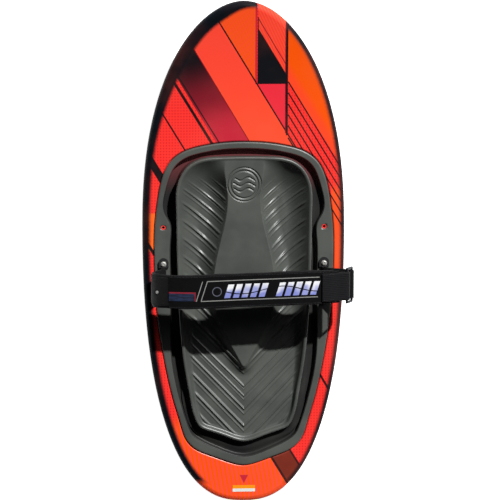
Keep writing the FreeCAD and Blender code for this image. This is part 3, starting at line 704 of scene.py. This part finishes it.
def ring_faces(rings, size, ends="capped"):
    """Faces of a stack of rings of the same number of points; its ends are capped, joined or open."""
    faces = []
    for r in range(rings - 1):
        for i in range(size):
            j = (i + 1) % size
            faces.append((r * size + i, r * size + j, (r + 1) * size + j, (r + 1) * size + i))
    last = (rings - 1) * size
    if ends == "capped":
        faces.append(tuple(range(size - 1, -1, -1)))
        faces.append(tuple(last + i for i in range(size)))
    elif ends == "joined":
        faces += [(last + i, last + (i + 1) % size, (i + 1) % size, i) for i in range(size)]
    return faces


def circle(x, y, radius, z):
    """Points round an upright axis."""
    turn = np.linspace(0, 2 * math.pi, ROUND_SIDES + 1)[:-1]
    return np.column_stack([x + radius * np.cos(turn), y + radius * np.sin(turn), np.full(ROUND_SIDES, z)])


# ---- knee pad ----

def rib_height(points):
    """Ribs that run out from the middle towards the nose, each with a low second line behind it."""
    across = np.abs(points[:, 0])
    u = (points[:, 1] - RIB_SLOPE * across) / (1 - RIB_FAN * across)
    index = np.interp(-u, -RIB_LINES, np.arange(len(RIB_LINES)))
    pitch = np.interp(index, np.arange(len(RIB_LINES) - 1) + 0.5, -np.diff(RIB_LINES))
    phase = (index + RIB_PHASE) % 1.0
    height = np.interp(phase, *zip(*RIB_PROFILE)) + np.interp(phase, *zip(*RIB_SECOND))
    return height * np.minimum(pitch / FULL_PITCH, 1.0) - RIB_DROP


def emblem_depth(points):
    """Engraved lines: two rings, with three waves inside the inner one."""
    x = points[:, 0] - EMBLEM[0]
    y = points[:, 1] - EMBLEM[1]
    radius = np.hypot(x, y)
    line = np.abs(radius - EMBLEM[2])
    for level in EMBLEM_WAVES:
        wave = np.abs(y - level - 4.2 * np.sin(x / 6.4))
        line = np.minimum(line, np.where(radius < EMBLEM[2] - 6, wave, 99.0))
    line = np.minimum(line, np.abs(radius - EMBLEM[2] - 8.0) + 0.5)
    return EMBLEM_DEPTH * (1 - smoothstep(line, 1.2, 3.0))


def crest_height(y):
    """Height of the crest's top, which falls towards the tail."""
    return CREST_Z[0] + ramp(y, *CREST_FALL_Y) * (CREST_Z[1] - CREST_Z[0])


def well_height(points, wall, ridge):
    """Height of the floor inside the crest: coved walls, wells, ridge, ribs and emblem."""
    y = points[:, 1]
    top = crest_height(y) - CREST_INNER_DROP
    rise = ramp(y, *WELL_RISE_Y)
    floor = WELL_FLOOR_Z[0] + rise * (WELL_FLOOR_Z[1] - WELL_FLOOR_Z[0])
    run = top - floor + COVE_EXTRA
    front = smoothstep(y, 100, 200)
    wall_run = run * (WALL_COVE + WALL_COVE_NOSE * front) * (1 - WALL_COVE_TAIL * rise)
    ridge_run = run * (RIDGE_COVE + RIDGE_COVE_NOSE * front + RIDGE_COVE_TAIL * rise)
    to_wall = distance_to(wall, points)
    to_ridge = np.where(inside(ridge, points), 0.0, distance_to(ridge, points))
    by_wall = np.maximum(1 - to_wall / wall_run, 0) ** 2
    by_ridge = np.maximum(1 - to_ridge / ridge_run, 0) ** 2
    height = floor + (top - floor) * (1 - (1 - by_wall) * (1 - by_ridge))
    open_floor = smoothstep(to_wall, 3 + 2 * rise, 18 - 5 * rise) * smoothstep(to_ridge, 2, 11)
    behind_emblem = 1 - smoothstep(y, 150, 210)
    return height + rib_height(points) * open_floor * behind_emblem - emblem_depth(points)


def ring(outline, z):
    """An outline at one height, or at a height for each of its points."""
    return np.column_stack([outline, np.broadcast_to(z, len(outline))])


def rounded(outline, start, end, low, high, convex=True, steps=5):
    """Rings along a quarter turn between two offsets and two heights."""
    rings = []
    for step in range(steps + 1):
        angle = math.pi / 2 * step / steps
        turn = (1 - math.cos(angle), math.sin(angle))
        sideways, upwards = turn if convex else turn[::-1]
        rings.append(ring(offset(outline, start + (end - start) * sideways), low + (high - low) * upwards))
    return rings


def flange_rings(flange, channel):
    """From the pad's underside round the flange to the channel's edge."""
    rings = [ring(offset(channel, PAD_BODY_GROW), z) for z in (PAD_LOW, FLANGE_LOW)]
    rings.append(ring(flange, FLANGE_LOW))
    rings += rounded(flange, 0.0, -FLANGE_ROUND, FLANGE_TOP - FLANGE_ROUND, FLANGE_TOP)
    for share in (0.25, 0.5, 0.75):
        between_edges = offset(flange, -FLANGE_ROUND) * (1 - share) + offset(channel, CHANNEL_LIP) * share
        rings.append(ring(between_edges, FLANGE_TOP))
    return rings


def channel_rings(channel, foot, rise):
    """Down the channel's outer side and over its floor to the foot of the crest's wall."""
    rings = rounded(channel, CHANNEL_LIP, 0.4, FLANGE_TOP, FLANGE_TOP - CHANNEL_LIP, convex=False)
    rings += [ring(offset(channel, 0.2), z) for z in (61.0, 58.0, 55.0)]
    rings += rounded(channel, 0.0, -CHANNEL_FILLET, CHANNEL_FLOOR_Z + CHANNEL_FILLET, CHANNEL_FLOOR_Z)
    for share in (0.33, 0.67, 1.0):
        floor = offset(channel, -CHANNEL_FILLET) * (1 - share) + foot * share
        rings.append(ring(floor, CHANNEL_FLOOR_Z + rise * share))
    return rings


def wall_rings(foot, outer, low, high, shares):
    """Up the crest's outer wall, which is hollow: flat at its foot and upright at its top."""
    return [ring(foot + (outer - foot) * (1 - (1 - share) ** 2), low + (high - low) * share ** 2)
            for share in shares]


def crest_rings(crest, top, steps=6):
    """Over the crest's rounded outer edge to its inner side."""
    rings = []
    for step in range(1, steps + 1):
        angle = math.pi / 2 * step / steps
        inwards = CREST_ROUND * (1 - math.cos(angle))
        height = top - CREST_ROUND * (1 - math.sin(angle))
        rings.append(ring(offset(crest, CREST_HALF_WIDTH - inwards), height))
    rings.append(ring(offset(crest, -CREST_HALF_WIDTH + CREST_ROUND), top))
    return rings


def well_rings(wall, ridge):
    """The floor inside the crest, in rings that shrink to a line in the middle."""
    spine_y = np.interp(wall[:, 1], [wall[:, 1].min(), wall[:, 1].max()], SPINE_Y)
    spine = np.column_stack([np.zeros(len(wall)), spine_y])
    rings = []
    for step in range(WELL_RINGS + 1):
        place = wall + (spine - wall) * (step / WELL_RINGS)
        rings.append(ring(place, well_height(place, wall, ridge)))
    return rings


def knee_pad():
    """The moulded pad; the channel and the lower part of the crest's wall have their own material, which
    carries painted shade.
    """
    halves = (FLANGE_HALF, CHANNEL_HALF, CREST_HALF, RIDGE_HALF)
    flange, channel, crest, ridge = (smooth_line(both_halves(half), PAD_COUNT, True) for half in halves)
    outer = offset(crest, CREST_HALF_WIDTH)
    normal = offset(crest, CREST_HALF_WIDTH + 1) - outer
    spread = TAIL_SPREAD * smoothstep(-crest[:, 1], 270, 380)
    foot = outer + normal * (CREST_FOOT + spread)[:, None]
    rise = spread * TAIL_RISE
    low = CHANNEL_FLOOR_Z + rise
    top = crest_height(crest[:, 1])
    rings = flange_rings(flange, channel)
    channel_start = len(rings)
    rings += channel_rings(channel, foot, rise)
    rings += wall_rings(foot, outer, low, top - CREST_ROUND, (0.1, 0.25, 0.45))
    channel_end = len(rings)
    rings += wall_rings(foot, outer, low, top - CREST_ROUND, (0.65, 0.85, 1.0))
    rings += crest_rings(crest, top)
    rings += well_rings(offset(crest, -CREST_HALF_WIDTH), ridge)
    faces = ring_faces(len(rings), PAD_COUNT, ends="open")
    faces.append(tuple(range(PAD_COUNT - 1, -1, -1)))
    piece = add_mesh("knee_pad_foam", np.vstack(rings), faces, pad_material(), sharp=75)
    # the second material, with the channel's painted shade, goes on the channel and the lower part of the
    # crest's wall
    piece.data.materials.append(shaded_channel_material())
    for face in piece.data.polygons[channel_start * PAD_COUNT:channel_end * PAD_COUNT]:
        face.material_index = 1
    weld(piece)
    for x in (-HOLE_X, HOLE_X):
        for y in HOLE_YS:
            drill(piece, x, y, HOLE_R)
    return piece


def drill(piece, x, y, radius):
    """Cuts a round hole through the pad's flange."""
    rings = [circle(x, y, radius, z) for z in (FLANGE_LOW - 2, FLANGE_TOP + 2)]
    tool = add_mesh("drill", np.vstack(rings), ring_faces(2, ROUND_SIDES), piece.data.materials[0])
    cut = piece.modifiers.new("hole", "BOOLEAN")
    cut.operation = "DIFFERENCE"
    cut.solver = "EXACT"
    cut.object = tool
    bpy.context.view_layer.objects.active = piece
    bpy.ops.object.modifier_apply(modifier=cut.name)
    bpy.data.objects.remove(tool)


def weld(piece, distance=0.01):
    """Joins points that coincide, and turns every face outwards."""
    bm = bmesh.new()
    bm.from_mesh(piece.data)
    bmesh.ops.remove_doubles(bm, verts=bm.verts, dist=distance * MM)
    bmesh.ops.recalc_face_normals(bm, faces=bm.faces)
    bm.to_mesh(piece.data)
    bm.free()


def collar(name, x, y):
    """A boss of the deck that stands in the pad's hole round a spare insert, as a turned ring."""
    rings = [circle(x, y, radius, z) for radius, z in COLLAR_PROFILE]
    faces = ring_faces(len(rings), ROUND_SIDES, ends="joined")
    return add_mesh(name, np.vstack(rings), faces, COLLAR, sharp=40)


# ---- strips of fabric ----

X, Z, NORMAL_X, NORMAL_Z, RUN = range(5)  # columns of the frames that a strip follows


def frames_along(points, count, closed=False):
    """Rows of x, z, normal x, normal z and distance along a smooth line in the XZ plane."""
    line = smooth_line(points, count, closed)
    if closed:
        tangent = np.roll(line, -1, axis=0) - np.roll(line, 1, axis=0)
    else:
        tangent = np.gradient(line, axis=0)
    tangent /= np.linalg.norm(tangent, axis=1)[:, None]
    steps = np.linalg.norm(np.diff(line, axis=0), axis=1)
    run = np.concatenate([[0], np.cumsum(steps)])
    return np.column_stack([line, -tangent[:, 1], tangent[:, 0], run])


def strap_middle(x):
    """The y of the strap's middle at each x."""
    return np.interp(x, *zip(*STRAP_SKEW))


def leg_middle(frames):
    """Middle y along the left leg and arch: square at the bar, then askew."""
    square = 1 - smoothstep(frames[:, Z], 82, 150)
    return ANCHOR[1] * square + strap_middle(frames[:, X]) * (1 - square)


def strip(name, frames, middle, section, material, closed=False, shape=None):
    """A section of (across, outwards) points carried along frames; shape may change it row by row."""
    section = np.asarray(section, float)
    size = len(section)
    vertices = []
    uv = []
    for i, (x, z, nx, nz, run) in enumerate(frames):
        across, out = section[:, 0], section[:, 1]
        if shape is not None:
            across, out = shape(across, out, run)
        vertices.append(np.column_stack([x + nx * out, middle[i] + across, z + nz * out]))
        uv.append(np.column_stack([np.full(size, run), across]))
    faces = ring_faces(len(frames), size, ends="joined" if closed else "capped")
    return add_mesh(name, np.vstack(vertices), faces, material, np.vstack(uv), sharp=60)


def flat_section(half, inner, outer, edge, columns=18):
    """A flat strip's outline between two distances outwards, with rounded long edges."""
    middle = (inner + outer) / 2
    thick = (outer - inner) / 2
    across = np.linspace(-half + edge, half - edge, columns)
    turn = np.linspace(-math.pi / 2, math.pi / 2, 7)[1:-1]
    upper = [(v, outer) for v in across]
    right = [(half - edge + edge * math.cos(a), middle - thick * math.sin(a)) for a in turn]
    lower = [(v, inner) for v in across[::-1]]
    left = [(-half + edge - edge * math.cos(a), middle + thick * math.sin(a)) for a in turn]
    return upper + right + lower + left


def shifted(frames, distance):
    """The frames moved along their normals."""
    moved = frames.copy()
    moved[:, X] += frames[:, NORMAL_X] * distance
    moved[:, Z] += frames[:, NORMAL_Z] * distance
    return moved


def upper_part(frames, low, high):
    """The frames between two x that face up."""
    return frames[(frames[:, X] > low) & (frames[:, X] < high) & (frames[:, NORMAL_Z] > 0.5)].copy()


def between(frames, low, high):
    """The upper part of the arch between two x, measured along from x = 0."""
    part = upper_part(frames, low, high)
    upper = upper_part(frames, -WIDTH, WIDTH)
    part[:, RUN] -= np.interp(0.0, upper[:, X], upper[:, RUN])
    return part


def turn_points(centre, radius, start, end, step):
    """Points round a bar from one angle to another, in degrees."""
    count = max(2, round(abs(end - start) / step) + 1)
    return [(centre[0] + radius * math.cos(math.radians(a)), centre[1] + radius * math.sin(math.radians(a)))
            for a in np.linspace(start, end, count)]


def leg_layers(frames, tops, distance):
    """Points along a leg at given heights, a distance to its outer side."""
    points = []
    for top in tops:
        x, z, normal_x, normal_z, _ = frames[np.argmin(np.abs(frames[:, Z] - top))]
        points.append((x + normal_x * distance, z + normal_z * distance))
    return points


def stitches(name, frames, middle, across, out, length=2.6, pitch=3.9, radius=0.42):
    """A row of sewn stitches along frames."""
    run = frames[:, RUN]
    places = np.arange(run[0] + pitch, run[-1] - pitch, pitch)
    vertices = []
    faces = []
    sides = 5
    for place in places:
        base = len(vertices)
        for share, size in ((-0.5, 0.35), (-0.25, 1.0), (0.25, 1.0), (0.5, 0.35)):
            at = place + share * length
            x, z, nx, nz = (np.interp(at, run, frames[:, k]) for k in range(4))
            y = np.interp(at, run, middle)
            for k in range(sides):
                angle = 2 * math.pi * k / sides
                side = radius * size * math.cos(angle)
                up = out + radius * size * math.sin(angle) + (0.15 if size == 1.0 else -0.2)
                vertices.append((x + nx * up, y + across + side, z + nz * up))
        faces += [tuple(base + v for v in face) for face in ring_faces(4, sides)]
    return add_mesh(name, vertices, faces, THREAD, sharp=80)


# ---- build: materials on the CAD nodes that stay ----

def dress(node, material):
    mesh = NODES[node].data
    mesh.materials.clear()
    mesh.materials.append(material)


STEEL = steel_material()
DENSE = core_material("dense_foam", rgb(190, 166, 120), rgb(160, 134, 94), 8, 0.8, 0.8, 0.2)
BRASS = brass_material()
BAR = bar_material()
WEBBING = webbing_material()
THREAD = thread_material()
COLLAR = collar_material()

dress("deck_shell", deck_material())
dress("hull_shell", hull_material())
dress("foam_core", core_material("core_foam", rgb(226, 214, 176), rgb(206, 190, 150), 14, 0.85, 1.2, 0.4))
dress("deck_label", label_material())
dress("strap_ring", ring_material())
dress("strap_rivet", STEEL)
for side in ("left", "right"):
    dress("insert_block_" + side, DENSE)
    dress("threaded_inserts_" + side, BRASS)
    dress("anchor_plate_" + side, BAR)
    dress("anchor_screws_" + side, STEEL)
    dress("anchor_washers_" + side, STEEL)


# ---- build: pad, and the collars in it ----

pad = knee_pad()
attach(pad, "root")
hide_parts("knee_pad")

for side, x in (("left", -HOLE_X), ("right", HOLE_X)):
    boss = collar("insert_collar_" + side, x, HOLE_YS[-1])
    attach(boss, "root")


# ---- build: strap ----

# Each layer: its half width, its faces' distances out from the strap's line, and its rounded edge.
WEB_SECTION = flat_section(WEB_HALF, -WEB / 2, WEB / 2, 1.2)
SHORT_WEB_SECTION = flat_section(WEB_HALF, -1.15, 1.15, 1.1)
PADDING_SECTION = flat_section(43.5, -9.4, -1.4, 4.0, columns=22)
COVER_SECTION = flat_section(41.5, 1.3, 2.6, 0.9, columns=24)
LOOP_SECTION = flat_section(34, 2.7, 3.7, 0.5)
HOOK_SECTION = flat_section(34, -2.2, -1.25, 0.4)
LABEL_SECTION = flat_section(11.5, 2.7, 3.5, 0.4, columns=8)
LEG_TOPS = (121, 112, 103, 94)  # heights at which the two layers of each loop are laid out
RIGHT_LEG_TOPS = (92, 104, 116, 128)
LAYER = 1.3  # how far each layer of the left loop lies from the leg's line
RIGHT_LAYER = 1.35
TAIL_OUT = 6.8  # how far the tail lies outside the strap's line
LABEL_Y = -85.5

arch = frames_along(ARCH, 420)
left_bar = (-ANCHOR[0], ANCHOR[2])
left_web_points = (
    leg_layers(arch, LEG_TOPS, -LAYER)
    + turn_points(left_bar, BAR_LOOP_R, 40, -200, 30)
    + leg_layers(arch, LEG_TOPS[::-1], LAYER)
    + leg_layers(arch, (130, 138), 0.4)
)
after = [tuple(point) for point in arch[arch[:, Z] > 146][::14, :2]]
ring_turn = turn_points(RING_UPPER, RING_WRAP_R, -115, 40, 26)
left_web = frames_along(left_web_points + after + ring_turn, 620)
web = strip("strap_web_long", left_web, leg_middle(left_web), WEB_SECTION, WEBBING)
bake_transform(web)
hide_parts("anchor_webbing_left", "strap_webbing")

right_leg = frames_along(RIGHT_LEG, 160)
right_bar = (ANCHOR[0], ANCHOR[2])
out_side = leg_layers(right_leg, RIGHT_LEG_TOPS, -RIGHT_LAYER)
in_side = leg_layers(right_leg, RIGHT_LEG_TOPS[::-1], RIGHT_LAYER)
right_loop_points = (
    turn_points(right_bar, BAR_LOOP_R, 170, 370, 33) + out_side
    + turn_points(RING_LOWER, RING_WRAP_R, -20, 190, 33) + in_side
)
right_loop = frames_along(right_loop_points, 360, closed=True)
loop_middle = np.interp(right_loop[:, Z], [80, 130], [ANCHOR[1], RING_Y])
right_web = strip("strap_web_short", right_loop, loop_middle, SHORT_WEB_SECTION, WEBBING, closed=True)
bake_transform(right_web)
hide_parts("anchor_webbing_right", "ring_webbing")


def padding_shape(across, out, run):
    """Soft padding: thin sewn edges, a crowned middle and slow waves along its edges."""
    wave = 1.2 * math.sin(run / 31.0) + 0.8 * math.sin(run / 13.0 + 1.0)
    puff = 1 - np.abs(across / 43.0) ** 3.0
    moved = np.where(out < -4, out - puff * math.sin(run / 23.0 + 0.7) ** 2, out)
    return across * (1 + wave / 90.0), moved


padding_frames = arch[(arch[:, Z] > 131) & (arch[:, X] < 222)]
padding = strip("strap_padding_neoprene", padding_frames, leg_middle(padding_frames),
                PADDING_SECTION, neoprene_material(), shape=padding_shape)
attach(padding, "strap")
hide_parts("strap_padding")

cover_frames = between(arch, -196, 236)
cover_middle = leg_middle(cover_frames)
cover = strip("strap_cover_knit", cover_frames, cover_middle, COVER_SECTION, cover_material())
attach(cover, "strap")
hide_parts("strap_cover")

loop_frames = between(arch, 188, 232)
loop_pile = strip("loop_pile_panel", loop_frames, leg_middle(loop_frames),
                  LOOP_SECTION, pile_material("loop_pile", (24, 24, 27)))
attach(loop_pile, "strap")
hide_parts("loop_panel")

label_frames = between(arch, -194, -126)
label_frames[:, RUN] -= label_frames[[0, -1], RUN].mean()
label = strip("woven_label_tab", label_frames, np.full(len(label_frames), LABEL_Y),
              LABEL_SECTION, label_weave_material())
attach(label, "strap")
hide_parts("woven_label")

tail_line = shifted(between(arch, 190, 236), TAIL_OUT)
tail_points = [tuple(point) for point in tail_line[::6, :2]]
tail_points += turn_points(RING_UPPER, RING_WRAP_R + 2.6, 75, 24, 26)
tail_frames = frames_along(tail_points, 150)
tail = strip("strap_tail_web", tail_frames, strap_middle(tail_frames[:, X]), WEB_SECTION, tail_material())
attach(tail, "tail")
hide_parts("strap_tail")

hook_frames = upper_part(tail_frames, 193, 229)
hook = strip("hook_patch_tape", hook_frames, strap_middle(hook_frames[:, X]),
             HOOK_SECTION, pile_material("hook_tape", (20, 20, 22)))
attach(hook, "tail")
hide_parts("hook_patch")

for row, across in (("front", 38.6), ("rear", -38.6)):
    seam = stitches("cover_stitches_" + row, cover_frames, cover_middle, across, 2.75)
    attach(seam, "strap")

end_seam = upper_part(tail_frames, 192, 226)
for row, across in (("front", 32.0), ("rear", -32.0)):
    seam = stitches("tail_stitches_" + row, end_seam, strap_middle(end_seam[:, X]), across, 1.35)
    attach(seam, "tail")


# ---- stage, light and camera ----

FLOOR_REACH = 30000.0
CAMERA_TURN = (-3.0, 9.4)  # degrees from straight above, towards +X and towards +Y
CAMERA_DISTANCE = 7.0
CAMERA_TARGET = (0, 0, 0.045)
CAMERA_LENS = 197.03
CAMERA_SHIFT = (0.0131, 0.0071)


def floor():
    """A white floor that glows, so that only the board's shadow shows on it."""
    g = Graph("floor_white")
    colour = g.mix(rgb(244, 244, 244), rgb(240, 240, 240), g.noise(300))
    material = g.finish(colour, 0.9, Emission_Color=(1, 1, 1, 1), Emission_Strength=1.0)
    corners = [(x * FLOOR_REACH, y * FLOOR_REACH, 0) for x, y in ((-1, -1), (1, -1), (1, 1), (-1, 1))]
    plane = add_mesh("floor", corners, [(0, 1, 2, 3)], material)


def aim(obj, place, target):
    obj.location = place
    obj.rotation_euler = (Vector(target) - Vector(place)).to_track_quat("-Z", "Y").to_euler()


def sun(name, direction, strength, angle):
    light = bpy.data.lights.new(name, "SUN")
    light.energy = strength
    light.angle = math.radians(angle)
    aim(add_object(name, light), direction, (0, 0, 0))


def panel(name, place, target, size, power):
    light = bpy.data.lights.new(name, "AREA")
    light.shape = "RECTANGLE"
    light.size, light.size_y = size
    light.energy = power
    aim(add_object(name, light), place, target)


def world(colour, strength):
    made = bpy.data.worlds.new("studio")
    made.use_nodes = True
    background = made.node_tree.nodes["Background"]
    background.inputs["Color"].default_value = colour
    background.inputs["Strength"].default_value = strength
    bpy.context.scene.world = made


def camera():
    """A long lens above the board, moved a little towards the nose and the left."""
    towards = Vector((*(math.tan(math.radians(turn)) for turn in CAMERA_TURN), 1.0)).normalized()
    up = Vector((0, 1, 0))
    up = (up - up.dot(towards) * towards).normalized()
    right = up.cross(towards)
    lens = bpy.data.cameras.new("camera")
    lens.sensor_width = 36.0
    lens.lens = CAMERA_LENS
    lens.shift_x, lens.shift_y = CAMERA_SHIFT
    lens.clip_end = 50.0
    place = Vector(CAMERA_TARGET) + towards * CAMERA_DISTANCE
    turn = Matrix((right, up, towards)).transposed().to_4x4()
    obj = add_object("camera", lens)
    obj.matrix_world = Matrix.Translation(place) @ turn
    bpy.context.scene.camera = obj


floor()
world((0.86, 0.92, 1.0, 1.0), 0.012)
sun("key", (0.56, 1.0, 0.92), 5.0, 1.6)
panel("right_box", (2.6, 1.6, 2.2), (0, 0, 0), (1.2, 1.2), 18)
camera()
bpy.context.scene.view_settings.view_transform = "Standard"
